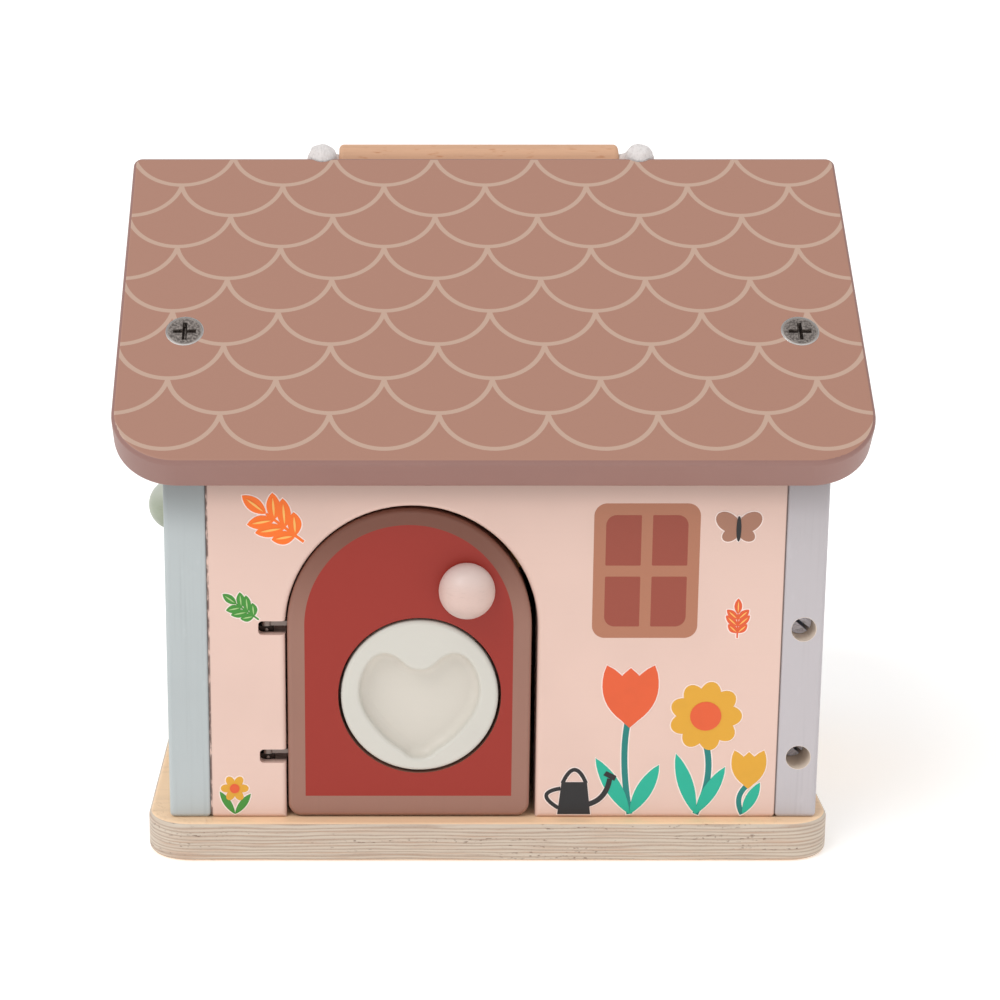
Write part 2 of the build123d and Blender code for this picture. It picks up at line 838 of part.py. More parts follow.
cord_length = sum(edge.length for edge in cord_line.edges())
tube_volume = pi * cord_radius**2 * cord_length
print("cord bend radius", round(cord_bend, 2), "cord length", round(cord_length, 2))
print("cord solid", round(handle_cord.part.volume, 1), "section times length", round(tube_volume, 1))
print("cord route", [tuple(round(value, 3) for value in point) for point in cord_route])
print("handle pivot height", round(pivot_z, 3), "cord below level at rest", round(degrees(rest_angle), 2))
for name, hinge in (("front", front_hinge), ("left", left_hinge), ("right", right_hinge)):
    print(name, "hinge axis", round(hinge.origin.X, 3), round(hinge.origin.Y, 3))
print("dial centre", [round(value, 3) for value in dial_place.position])
print("ridge top", round(ridge_top, 3), "peak", round(peak, 3))
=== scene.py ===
import math

import bmesh
import bpy
from mathutils import Matrix, Vector, noise


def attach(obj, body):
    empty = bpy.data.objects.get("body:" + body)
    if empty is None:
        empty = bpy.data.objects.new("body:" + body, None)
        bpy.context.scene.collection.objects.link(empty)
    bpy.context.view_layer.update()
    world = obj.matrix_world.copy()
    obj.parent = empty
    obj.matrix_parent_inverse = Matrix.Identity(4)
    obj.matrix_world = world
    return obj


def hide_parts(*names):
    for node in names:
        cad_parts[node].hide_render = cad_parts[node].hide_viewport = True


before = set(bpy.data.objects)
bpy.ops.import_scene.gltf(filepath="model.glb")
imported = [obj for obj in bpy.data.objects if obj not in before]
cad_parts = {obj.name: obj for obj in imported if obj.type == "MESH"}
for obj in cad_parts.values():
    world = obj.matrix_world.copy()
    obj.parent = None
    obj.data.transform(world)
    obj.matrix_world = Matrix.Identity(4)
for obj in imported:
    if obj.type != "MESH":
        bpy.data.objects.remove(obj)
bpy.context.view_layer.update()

bl_info = {
    "name": "Activity House",
    "version": (1, 0, 0),
    "blender": (4, 5, 0),
    "location": "View3D > Sidebar > Activity House",
    "description": "Paint, prints, wood, steel and cord for the packed wooden activity house",
    "category": "Object",
}

MM = 0.001

# Places that the CAD source gives, in millimetres
BASE_TOP = 8.6
PANEL_FACE = 57.1
LEFT_FACE = 67.9
RIGHT_FACE = 69.7
WALLS_CENTRE = 0.9
PANEL_EDGE = 60.1
RIDGE_TOP = 142.804
ROOF_PITCH = math.radians(38.35)
ROOF_SLOPE = 87.09
ROOF_HALF_WIDTH = 78.0
SCREWS_CENTRE = 0.4
SCREW_X = 64.45
ROOF_SCREW_FROM_RIDGE = 51.79
BASE_SCREW_Y = 42.0
BORE_FROM_FACE = 4.3
BORE_RADIUS = 2.6
BORE_LEVELS = (22.1, 50.42)
FRONT_DOOR_X = -17.0
DOOR_HALF_WIDTH = 25.6
FRONT_DOOR_TOP = 67.82
SIDE_DOOR_TOP = 73.5
DIAL_CENTRE = (-14.8, -57.1, 35.81)
FRONT_KNOB_Z = 59.2
SIDE_KNOB_Z = 66.1
CORD_LEFT_X = -36.0
CORD_RIGHT_X = 34.6
CORD_Y = 2.65
CORD_KNOT_Z = 124.386

# Height at which the eave meets the front face, as the photo's view has it, and how much
# of its light the paint keeps there
EAVE_LEVEL = 80.5
# The share below is painted shade: the eave's shadow painted into the paint's colour
EAVE_PAINTED_SHADE = 0.74

# A length past both sides of the house, for masks that run right through
THROUGH = 500.0

# How far below its outer face a board still counts as face and not as rounded edge, and how
# far past a hinge bore its bare wood is drawn
FACE_SKIN = 0.06
BORE_MARGIN = 0.06

# The printed windows: their middle in X and Z, the half sizes and corner radii of the frame,
# of the glazed opening and of a pane, and how far each pane stands from the middle
WINDOW_X = 32.1
WINDOW_LEVEL = 63.1
WINDOW_HALF = (11.0, THROUGH, 14.5)
WINDOW_CORNER = 2.7
OPENING_HALF = (8.5, THROUGH, 12.0)
OPENING_CORNER = 2.2
PANE_HALF = (3.67, THROUGH, 5.41)
PANE_CORNER = 0.25
PANE_STEP_X = 4.83
PANE_STEP_Z = 6.59

# Where the printed plants stand
GROUND = BASE_TOP + 0.8

# The roof's print
SCALLOPS_ACROSS = 7
SCALLOP_RADIUS = 11.4

# Height over which each knob's painted highlight above and painted shade below come in
KNOB_FADE = 5.5


def linear(code):
    """An sRGB hex colour as the linear values that Blender's sockets hold."""
    parts = [int(code[place : place + 2], 16) / 255 for place in (1, 3, 5)]
    return tuple(v / 12.92 if v <= 0.04045 else ((v + 0.055) / 1.055) ** 2.4 for v in parts)


def opaque(rgb):
    """Three linear values with an alpha of one."""
    return (*rgb, 1.0)


def hue(name, description, code):
    """A colour property that a user can change."""
    return bpy.props.FloatVectorProperty(
        name=name,
        description=description,
        subtype="COLOR",
        size=3,
        min=0,
        max=1,
        default=linear(code),
    )


def span(name, description, millimetres):
    """A length property that a user can change."""
    return bpy.props.FloatProperty(
        name=name,
        description=description,
        subtype="DISTANCE",
        unit="LENGTH",
        precision=5,
        min=0,
        default=millimetres * MM,
    )


class HousePaints(bpy.types.PropertyGroup):
    left_wall: hue("Left wall", "Blue-grey paint of the left gable wall", "#B6BDBE")
    right_wall: hue("Right wall", "Lilac-grey paint of the right gable wall", "#BFB9BC")
    panel: hue("Panels", "Pink paint of the front and back panels", "#E2C2B5")
    roof: hue("Roof", "Brown paint of the roof's printed faces", "#A97C6A")
    roof_edge: hue("Roof edges", "Paint of the roof's edges and undersides", "#936D65")
    scallop: hue("Scallops", "Lines of the roof's scallop print", "#BE9F8D")
    door_border: hue("Door border", "Brown paint of the front door", "#996E5F")
    # The door head's darker brown is painted shade: the eave's shadow on the front door's head
    door_head_painted_shade: hue("Door head", "Darker brown sprayed round the front door's head", "#754636")
    door_face: hue("Front door face", "Red print on the front door", "#982414")
    side_door: hue("Side doors", "Cream paint of both side doors", "#E3D0B2")
    left_door_face: hue("Left door face", "Green print on the left door", "#8FA68C")
    right_door_face: hue("Right door face", "Ochre print on the right door", "#D3A15B")
    window_frame: hue("Window frame", "Frame and bars of the painted window", "#AF7459")
    window_pane: hue("Window panes", "Panes of the painted window", "#974635")
    front_knob: hue("Front knob", "Pink paint of the front door's knob", "#D6BAB0")
    left_knob: hue("Left knob", "Green paint of the left door's knob", "#9DA491")
    right_knob: hue("Right knob", "Yellow paint of the right door's knob", "#DDBD7E")
    dial: hue("Dial", "Cream lacquer of the heart dial", "#D0CDC4")
    groove: hue("Groove", "Bare fibre and dirt in the joint beside a panel", "#6A5650")


class HouseWoods(bpy.types.PropertyGroup):
    birch_face: hue("Birch face", "Face veneer of the base plate", "#F8D5AF")
    birch_long: hue("Birch long ply", "Plies cut along their grain", "#CFC1B0")
    birch_end: hue("Birch end ply", "Plies cut across their grain", "#B4A08F")
    birch_warm: hue("Birch warm ply", "Stretches of redder veneer in the plies", "#C09C83")
    birch_glue: hue("Glue line", "Glue lines between the plies", "#A98C78")
    beech: hue("Beech", "Ground colour of the bare beech", "#D9AB8A")
    beech_fleck: hue("Beech fleck", "Rays that show as small flecks", "#BE8058")
    oiled: hue("Stop", "Golden wood of the door stops", "#C08A45")
    bare_bore: hue("Bore", "Bare wood inside the hinge bores", "#E4D6C8")


class HouseMetals(bpy.types.PropertyGroup):
    zinc: hue("Zinc", "Zinc plating on the screws", "#A39A94")
    zinc_dull: hue("Dull zinc", "Duller patches of the zinc plating", "#4F4846")
    hinge: hue("Hinge steel", "Plain steel of the hinge leaves", "#8B7E78")
    rod: hue("Rod steel", "Bright sawn steel of the side hinge rods", "#E6E6F2")
    # The front rods' near-black is painted shade for the dark inside the front panel's slots
    black: hue("Black oxide", "Blackened steel of the front hinge rods", "#2A211D")


class HousePrints(bpy.types.PropertyGroup):
    yellow: hue("Yellow", "Petals", "#DDA22B")
    orange: hue("Orange", "Flower centres and tulips", "#E05A2B")
    amber: hue("Amber", "Autumn leaves", "#FB7418")
    leaf: hue("Leaf", "Bright teal leaves", "#12AE92")
    stem: hue("Stem", "Dark teal stems", "#0C7C75")
    green: hue("Green", "Grass green leaves", "#3D8C2E")
    amber_vein: hue("Amber veins", "Light veins of the amber leaves", "#FCBE62")
    green_vein: hue("Green veins", "Light veins of the green leaves", "#A5CC84")
    rim: hue("Rim", "Thin pale rim printed under each motif", "#F6E3DB")
    charcoal: hue("Charcoal", "Watering can", "#1C1B1D")
    wing: hue("Wing", "Butterfly wings", "#A5755F")
    film: span("Ink film", "Thickness of one layer of printed ink", 0.05)


class HouseSizes(bpy.types.PropertyGroup):
    cord_diameter: span("Cord diameter", "Diameter of the carry cord", 5.2)
    cord_length: span("Cord length", "Length of the carry cord between its ridge holes", 86.2)
    fluff: span("Cotton fluff", "How far the cotton's surface wanders", 0.28)
    ply: span("Ply", "Height of one light and one dark birch ply", 0.8)
    scallop_line: span("Scallop line", "Width of the scallops' lines", 1.0)
    scallop_rise: span("Scallop rise", "Height from one row of scallops to the next", 9.35)
    scallop_foot: span("Scallop foot", "The lowest scallops above the eave", 3.6)


def add_node(kind, sockets, operation=None, out=0, tree=None, **settings):
    """Adds a node to tree, or to that of the sockets it links, and gives one of its outputs."""
    tree = tree or next(v.id_data for v in sockets.values() if isinstance(v, bpy.types.NodeSocket))
    made = tree.nodes.new("ShaderNode" + kind)
    if operation:
        made.operation = operation
    for name, value in settings.items():
        setattr(made, name, value)
    for key, value in sockets.items():
        if isinstance(value, bpy.types.NodeSocket):
            tree.links.new(value, made.inputs[key])
        else:
            made.inputs[key].default_value = value
    return made.outputs[out]


def new_material(name, rgb, **sockets):
    """A material with one Principled shader, its constants set on the shader's own sockets."""
    material = bpy.data.materials.new(name)
    material.use_nodes = True
    shader = material.node_tree.nodes["Principled BSDF"]
    shader.inputs["Base Color"].default_value = opaque(rgb)
    for key, value in sockets.items():
        shader.inputs[key.replace("_", " ").title().replace("Ior", "IOR")].default_value = value
    material.diffuse_color = opaque(rgb)
    return material, shader


def in_millimetres(shader):
    """The piece's own coordinates, in millimetres."""
    place = add_node("TexCoord", {}, out="Object", tree=shader.id_data)
    return add_node("VectorMath", {0: place, "Scale": 1 / MM}, "SCALE")


def stretched_noise(place, lengths, detail=2.0):
    """Noise whose grains measure lengths, in millimetres, along X, Y and Z."""
    thin = tuple(1 / length for length in lengths)
    vector = add_node("VectorMath", {0: place, 1: thin}, "MULTIPLY")
    sockets = {"Vector": vector, "Scale": 1.0, "Detail": detail, "Roughness": 0.55}
    return add_node("TexNoise", sockets)


def grain(along, length, width):
    """The lengths along X, Y and Z of a grain that runs along one of them."""
    return tuple(length if axis == along else width for axis in "XYZ")


def tint(shader, factor, rgb, strength=1.0):
    """Lays a colour over what the shader's base colour already is, where factor says."""
    base = shader.inputs["Base Color"]
    below = base.links[0].from_socket if base.links else tuple(base.default_value)
    share = add_node("Math", {0: factor, 1: strength}, "MULTIPLY", use_clamp=True)
    mixed = add_node("Mix", {0: share, 6: below, 7: opaque(rgb)}, out=2, data_type="RGBA")
    shader.id_data.links.new(mixed, base)


def roughen(shader, height, depth, strength=1.0):
    """Turns a height pattern, depth millimetres tall, into the surface's normal."""
    before = shader.inputs["Normal"]
    sockets = {"Height": height, "Distance": depth * MM, "Strength": strength}
    if before.links:
        sockets["Normal"] = before.links[0].from_socket
    shader.id_data.links.new(add_node("Bump", sockets), before)


def scaled(rgb, share):
    """A colour whose light is taken times share, to darken or brighten it."""
    return tuple(v * share for v in rgb)


def lighter(rgb, share):
    """A colour moved part of the way to white."""
    return tuple(v + (1 - v) * share for v in rgb)


def contrast(factor, low, high):
    """A pattern pulled out so that low becomes none and high becomes full."""
    sockets = {"Value": factor, "From Min": low, "From Max": high}
    return add_node("MapRange", sockets, interpolation_type="SMOOTHSTEP")


def painted_wood(node, name, rgb, along, streak, gloss=0.46, grit=0.03):
    """Dresses a CAD node in satin water paint brushed on sanded wood."""
    # The paint is even and soft in its gloss; faint darker streaks a millimetre wide follow
    # the wood's grain, and an orange peel of a few tenths of a millimetre breaks the shine.
    material, shader = new_material(name, rgb, roughness=gloss, ior=1.47)
    dress(node, material)
    place = in_millimetres(shader)
    streaks = stretched_noise(place, grain(along, 38.0, 0.9), detail=3.0)
    clouds = stretched_noise(place, (26.0, 26.0, 26.0))
    peel = stretched_noise(place, (0.35, 0.35, 0.35), detail=1.0)
    tint(shader, contrast(streaks, 0.5, 0.85), scaled(rgb, 0.86), streak)
    tint(shader, contrast(clouds, 0.42, 0.7), scaled(rgb, 0.93), 0.5)
    roughen(shader, streaks, grit, 0.5)
    roughen(shader, peel, 0.012, 0.6)
    return shader, place


def on_outer_face(place, outward, face):
    """One on the flat outer face of a board, and none on its rounded edges and back."""
    reach = add_node("VectorMath", {0: place, 1: outward}, "DOT_PRODUCT", "Value")
    return add_node("Math", {0: reach, 1: face - FACE_SKIN}, "GREATER_THAN")


def both(one, other):
    """Where two masks meet."""
    return add_node("Math", {0: one, 1: other}, "MULTIPLY")


def rounded_rectangle(place, centre, half, corner):
    """A mask of a rounded rectangle that runs right through along one axis."""
    from_centre = add_node("VectorMath", {0: place, 1: centre}, "SUBTRACT")
    folded = add_node("VectorMath", {0: from_centre}, "ABSOLUTE")
    inner = tuple(size - corner for size in half)
    past = add_node("VectorMath", {0: folded, 1: inner}, "SUBTRACT")
    outside = add_node("VectorMath", {0: past, 1: (0.0, 0.0, 0.0)}, "MAXIMUM")
    distance = add_node("VectorMath", {0: outside}, "LENGTH", "Value")
    return add_node("Math", {0: distance, 1: corner}, "LESS_THAN")


def arched_panel(place, outward, centre, half_width, foot, head):
    """A mask of a panel with a half-round head on a board whose outer face looks outward."""
    across = tuple(0.0 if value else 1.0 for value in outward)
    spring = (centre, centre, head - half_width)
    from_spring = add_node("VectorMath", {0: place, 1: spring}, "SUBTRACT")
    flat = add_node("VectorMath", {0: from_spring, 1: across}, "MULTIPLY")
    floor = (-THROUGH, -THROUGH, 0.0)
    above = add_node("VectorMath", {0: flat, 1: floor}, "MAXIMUM")
    distance = add_node("VectorMath", {0: above}, "LENGTH", "Value")
    within = add_node("Math", {0: distance, 1: half_width}, "LESS_THAN")
    height = add_node("SeparateXYZ", {0: place}, out=2)
    over_foot = add_node("Math", {0: height, 1: foot}, "GREATER_THAN")
    return both(within, over_foot)


def dress(node, material):
    """Gives a CAD node one material."""
    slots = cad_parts[node].data.materials
    slots.clear()
    slots.append(material)


def keep(name, mesh, material, body):
    """A new piece from a mesh in the row frame, riding on a CAD body."""
    piece = bpy.data.objects.new(name, mesh)
    bpy.context.scene.collection.objects.link(piece)
    mesh.materials.append(material)
    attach(piece, body)
    return piece


class HOUSE_OT_stage(bpy.types.Operator):
    """Set up the camera, the pale floor and the soft studio light"""

    bl_idname = "house.stage"
    bl_label = "Stage"

    def execute(self, context):
        scene = context.scene
        camera_data = bpy.data.cameras.new("camera")
        camera_data.lens = 84.56
        camera_data.sensor_width = 36.0
        camera_data.shift_x = 0.1178
        camera_data.shift_y = 0.002
        camera = bpy.data.objects.new("camera", camera_data)
        camera.location = (-0.02267, -0.5266, 0.19494)
        camera.rotation_euler = (math.radians(76), 0, 0)
        scene.collection.objects.link(camera)
        scene.camera = camera

        scene.view_settings.view_transform = "Standard"
        world = bpy.data.worlds.new("studio")
        world.use_nodes = True
        background = world.node_tree.nodes["Background"]
        background.inputs["Color"].default_value = (1.0, 1.0, 1.0, 1.0)
        background.inputs["Strength"].default_value = 0.76
        scene.world = world

        # A wide soft light from above the camera's left, even over the whole floor
        lamp = bpy.data.lights.new("soft_light", "SUN")
        lamp.energy = 1.0
        lamp.angle = math.radians(34)
        holder = bpy.data.objects.new("soft_light", lamp)
        holder.rotation_euler = Vector((0.6, 0.5, -1.0)).to_track_quat("-Z", "Y").to_euler()
        scene.collection.objects.link(holder)

        floor_mesh = bpy.data.meshes.new("floor")
        side = 9.0
        corners = [(-side, -side, 0), (side, -side, 0), (side, side, 0), (-side, side, 0)]
        floor_mesh.from_pydata(corners, [], [(0, 1, 2, 3)])
        # Matt white translucent sheet, lit a little from below as on a photographer's table
        material, shader = new_material("white_sheet", linear("#FBFBFA"), roughness=0.9)
        shader.inputs["Emission Color"].default_value = (1.0, 1.0, 1.0, 1.0)
        shader.inputs["Emission Strength"].default_value = 0.3
        fibres = stretched_noise(in_millimetres(shader), (3.0, 3.0, 3.0))
        tint(shader, fibres, linear("#F6F6F5"), 0.4)
        floor_mesh.materials.append(material)
        floor = bpy.data.objects.new("floor", floor_mesh)
        scene.collection.objects.link(floor)
        return {"FINISHED"}


def cotton(name):
    """Soft cotton cord, braided and brushed."""
    # Cotton scatters light in its fluff: a pale, matt, slightly glowing edge, with fine
    # fibres that cross at a slant. Fibres are a tenth of a millimetre; these are drawn at
    # four tenths so that they show.
    material, shader = new_material(name, linear("#E0DAD8"), roughness=0.95, ior=1.5)
    shader.inputs["Sheen Weight"].default_value = 0.35
    shader.inputs["Sheen Roughness"].default_value = 0.6
    place = in_millimetres(shader)
    fibres = stretched_noise(place, (0.4, 1.6, 0.8), detail=4.0)
    lumps = stretched_noise(place, (1.6, 1.6, 1.6))
    tint(shader, contrast(fibres, 0.45, 0.75), linear("#BFB9B7"), 0.55)
    tint(shader, contrast(lumps, 0.5, 0.75), linear("#CCC6C4"), 0.4)
    roughen(shader, fibres, 0.25, 0.7)
    return material


def tube(work, path, radii, sides):
    """Adds a closed tube along path, in millimetres, with a radius at each point."""
    rings = []
    normal = None
    for index, point in enumerate(path):
        ahead = path[min(index + 1, len(path) - 1)] - path[max(index - 1, 0)]
        ahead.normalize()
        if normal is None:
            normal = ahead.orthogonal().normalized()
        normal = (normal - ahead * normal.dot(ahead)).normalized()
        side = ahead.cross(normal)
        ring = []
        for step in range(sides):
            angle = math.tau * step / sides
            offset = (normal * math.cos(angle) + side * math.sin(angle)) * radii[index]
            ring.append(work.verts.new((point + offset) * MM))
        rings.append(ring)
    for one, other in zip(rings, rings[1:]):
        for step in range(sides):
            after = (step + 1) % sides
            work.faces.new((one[step], one[after], other[after], other[step]))
    for ring, point, away in ((rings[0], path[0], False), (rings[-1], path[-1], True)):
        middle = work.verts.new(point * MM)
        for step in range(sides):
            after = (step + 1) % sides
            corner = (ring[step], ring[after]) if away else (ring[after], ring[step])
            work.faces.new((*corner, middle))


def finish_mesh(work, name, smooth=True):
    """The bmesh as a mesh, with faces that look outward."""
    bmesh.ops.recalc_face_normals(work, faces=work.faces)
    mesh = bpy.data.meshes.new(name)
    work.to_mesh(mesh)
    work.free()
    if smooth:
        mesh.shade_smooth()
    else:
        mesh.shade_flat()
    return mesh


def wander(mesh, amount, size):
    """Moves each point along its normal by smooth noise of that size, in millimetres."""
    shifts = [
        vertex.normal * amount * noise.noise(vertex.co / (size * MM)) for vertex in mesh.vertices
    ]
    for vertex, shift in zip(mesh.vertices, shifts):
        vertex.co += shift
    mesh.update()


class HOUSE_OT_carry_cord(bpy.types.Operator):
    """Lay the carry cord from the ridge, through the grip and back"""

    bl_idname = "house.carry_cord"
    bl_label = "Carry cord"

    def execute(self, context):
        sizes = context.scene.house_sizes
        route = (
            (-0.036, 0.00265, 0.143004),
            (-0.036, 0.012778, 0.139453),
            (-0.024, 0.012778, 0.139453),
            (0.0226, 0.012778, 0.139453),
            (0.0346, 0.012778, 0.139453),
            (0.0346, 0.00265, 0.143004),
        )
        line = bpy.data.curves.new("carry_cord", "CURVE")
        line.dimensions = "3D"
        spline = line.splines.new("NURBS")
        spline.points.add(len(route) - 1)
        for point, place in zip(spline.points, route):
            point.co = (*place, 1.0)
        spline.order_u = 3
        spline.use_endpoint_u = True
        spline.resolution_u = 24
        line.bevel_depth = sizes.cord_diameter / 2
        line.bevel_resolution = 8
        line.use_fill_caps = True
        cord = bpy.data.objects.new("carry_cord", line)
        context.scene.collection.objects.link(cord)
        line.materials.append(cotton("cotton_cord"))
        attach(cord, "handle")
        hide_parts("handle_cord")
        return {"FINISHED"}


class HOUSE_OT_cord_ends(bpy.types.Operator):
    """Knot both ends of the cord under the ridge and let them swell out of their holes"""

    bl_idname = "house.cord_ends"
    bl_label = "Cord ends"

    def execute(self, context):
        material = cotton("cotton_cord_end")
        for name, x, swell, lean in (
            ("left_cord_end", CORD_LEFT_X, 1.0, 0.0),
            ("right_cord_end", CORD_RIGHT_X, 0.95, 0.4),
        ):
            work = bmesh.new()
            # Rise above the knot and radius, from the frayed tail to the swelling above the ridge
            profile = (
                (-9.6, 2.9), (-8.6, 2.75), (-7.0, 2.45), (-3.0, 2.4), (3.0, 2.5),
                (9.5, 2.75), (13.8, 3.0), (15.8, 3.2), (17.3, 3.33), (18.4, 3.3),
                (19.4, 3.0), (20.2, 2.4), (20.8, 1.5), (21.05, 0.6),
            )
            # The swelling alone leans away from the hole and takes the swell
            neck, lean_rise = 9.5, 6.3
            path = []
            for rise, _ in profile:
                leant = lean * max(0.0, min(1.0, (rise - neck) / lean_rise))
                path.append(Vector((x + leant, CORD_Y, CORD_KNOT_Z + rise)))
            radii = [radius * (swell if rise > neck else 1.0) for rise, radius in profile]
            tube(work, path, radii, sides=28)
            # The knot is the cord coiled round its own tail, tighter at the coil's ends
            turns, links, coil_height, strand_radius = 2.5, 60, 6.0, 1.85
            coil_reach, tightening = 2.75, 0.9
            coil = []
            for link in range(links + 1):
                share = link / links
                angle = math.tau * turns * share
                reach = coil_reach - tightening * abs(2 * share - 1) ** 4
                level = CORD_KNOT_Z - coil_height / 2 + coil_height * share
                coil.append(
                    Vector((x + reach * math.cos(angle), CORD_Y + reach * math.sin(angle), level))
                )
            tube(work, coil, [strand_radius] * len(coil), sides=16)
            bmesh.ops.subdivide_edges(
                work, edges=work.edges[:], cuts=1, use_grid_fill=True, smooth=0.6
            )
            mesh = finish_mesh(work, name)
            wander(mesh, context.scene.house_sizes.fluff, 1.1)
            piece = keep(name.replace("end", "knot"), mesh, material, "house")
            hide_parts(name)
        return {"FINISHED"}


class HOUSE_OT_base_plate(bpy.types.Operator):
    """Give the base plate its birch face veneers and the plies of its edge"""

    bl_idname = "house.base_plate"
    bl_label = "Base plate"

    def execute(self, context):
        woods = context.scene.house_woods
        ply = context.scene.house_sizes.ply / MM
        # Sanded birch plywood under a thin clear oil: pale even faces with long faint figure,
        # and an edge of thin wavy plies, cream and greyish pink by turns, of uneven thickness,
        # with stretches of small torn spots.
        material, shader = new_material("birch_plywood_oiled", woods.birch_long, roughness=0.5)
        place = in_millimetres(shader)
        height = add_node("SeparateXYZ", {0: place}, out=2)
        wave = stretched_noise(place, (30.0, 30.0, 4.0))
        uneven = stretched_noise(place, (400.0, 400.0, 1.3), detail=1.0)
        wave_height, unevenness = 1.6, 1.1
        level = add_node("Math", {0: wave, 1: wave_height, 2: height}, "MULTIPLY_ADD")
        level = add_node("Math", {0: uneven, 1: unevenness, 2: level}, "MULTIPLY_ADD")
        turn = add_node("Math", {0: level, 1: math.tau / ply}, "MULTIPLY")
        plies = add_node("Math", {0: turn}, "SINE")
        crossing = contrast(plies, -0.7, 0.8)
        glue = contrast(plies, 0.72, 1.0)
        specks = stretched_noise(place, (0.5, 0.5, 0.22), detail=3.0)
        fibres = stretched_noise(place, (9.0, 9.0, 0.16), detail=3.0)
        warmth = stretched_noise(place, (14.0, 14.0, 0.5))
        spots = contrast(stretched_noise(place, (1.1, 1.1, 0.5)), 0.56, 0.7)
        stretches = contrast(stretched_noise(place, (24.0, 24.0, 1.2)), 0.56, 0.62)
        torn = both(spots, stretches)
        tint(shader, crossing, woods.birch_end, 0.85)
        tint(shader, contrast(fibres, 0.45, 0.75), woods.birch_end, 0.5)
        tint(shader, contrast(warmth, 0.5, 0.7), woods.birch_warm, 0.5)
        rough_specks = both(contrast(specks, 0.5, 0.72), crossing)
        tint(shader, rough_specks, scaled(woods.birch_end, 0.78), 0.5)
        tint(shader, glue, woods.birch_glue, 0.3)
        tint(shader, torn, scaled(woods.birch_glue, 0.6), 0.8)
        veneer = 0.25
        top = add_node("Math", {0: height, 1: BASE_TOP - veneer}, "GREATER_THAN")
        under = add_node("Math", {0: height, 1: veneer}, "LESS_THAN")
        faces = add_node("Math", {0: top, 1: under}, "MAXIMUM")
        figure = contrast(stretched_noise(place, (55.0, 1.6, 5.0), detail=4.0), 0.45, 0.7)
        tint(shader, faces, woods.birch_face)
        tint(shader, both(faces, figure), scaled(woods.birch_face, 0.84), 0.6)
        roughen(shader, fibres, 0.05, 0.6)
        roughen(shader, specks, 0.05, 0.5)
        roughen(shader, torn, 0.3, 0.5)
        dress("base_plate", material)
        return {"FINISHED"}


class HOUSE_OT_walls(bpy.types.Operator):
    """Brush blue-grey and lilac-grey paint on the gable walls"""

    bl_idname = "house.walls"
    bl_label = "Gable walls"

    def execute(self, context):
        paints = context.scene.house_paints
        woods = context.scene.house_woods
        # Each wall: its node, paint, the X and open end of its bores, and the share and height of
        # the painted eave shadow on its front edge
        for node, rgb, bore_x, open_end, shade, drop in (
            ("left_wall", paints.left_wall, BORE_FROM_FACE - LEFT_FACE, THROUGH, 0.62, 11.0),
            (
                "right_wall", paints.right_wall, RIGHT_FACE - BORE_FROM_FACE, -THROUGH,
                EAVE_PAINTED_SHADE, 7.0,
            ),
        ):
            name = node + "_satin_paint"
            shader, place = painted_wood(node, name, rgb, "Z", streak=0.75, grit=0.07)
            worn = stretched_noise(place, (2.5, 2.5, 5.0), detail=4.0)
            tint(shader, contrast(worn, 0.6, 0.8), scaled(rgb, 1.12), 0.5)
            # The hinge bores are drilled after the paint and stay bare
            reach = BORE_RADIUS + BORE_MARGIN
            half = (reach, THROUGH, reach)
            for level in BORE_LEVELS:
                bore = rounded_rectangle(place, (bore_x, open_end, level), half, reach)
                tint(shader, bore, woods.bare_bore)
            # Painted shadow of the eave: the wall's front edge is painted darker towards the eave
            depth = add_node("SeparateXYZ", {0: place}, out=1)
            edge_start, edge_full = 1.5, 0.5
            front = contrast(depth, edge_start - PANEL_FACE, edge_full - PANEL_FACE)
            below_eave = both(painted_eave_shadow(place, drop), front)
            tint(shader, below_eave, scaled(rgb, shade))
        return {"FINISHED"}


def painted_eave_shadow(place, drop):
    """The last drop millimetres below the eave, where the eave's shadow is painted into the paint
    as painted shade.
    """
    height = add_node("SeparateXYZ", {0: place}, out=2)
    return contrast(height, EAVE_LEVEL - drop, EAVE_LEVEL + 1.0)


def printed_window(shader, place, face_mask, centre_x):
    """A four-pane window printed on a panel."""
    paints = bpy.context.scene.house_paints
    centre = (centre_x, 0.0, WINDOW_LEVEL)
    frame_mask = rounded_rectangle(place, centre, WINDOW_HALF, WINDOW_CORNER)
    opening = rounded_rectangle(place, centre, OPENING_HALF, OPENING_CORNER)
    tint(shader, both(face_mask, frame_mask), paints.window_frame)
    for side in (-1, 1):
        for level in (-1, 1):
            middle = (centre_x + side * PANE_STEP_X, 0.0, WINDOW_LEVEL + level * PANE_STEP_Z)
            pane = rounded_rectangle(place, middle, PANE_HALF, PANE_CORNER)
            mask = both(face_mask, both(pane, opening))
            tint(shader, mask, paints.window_pane)


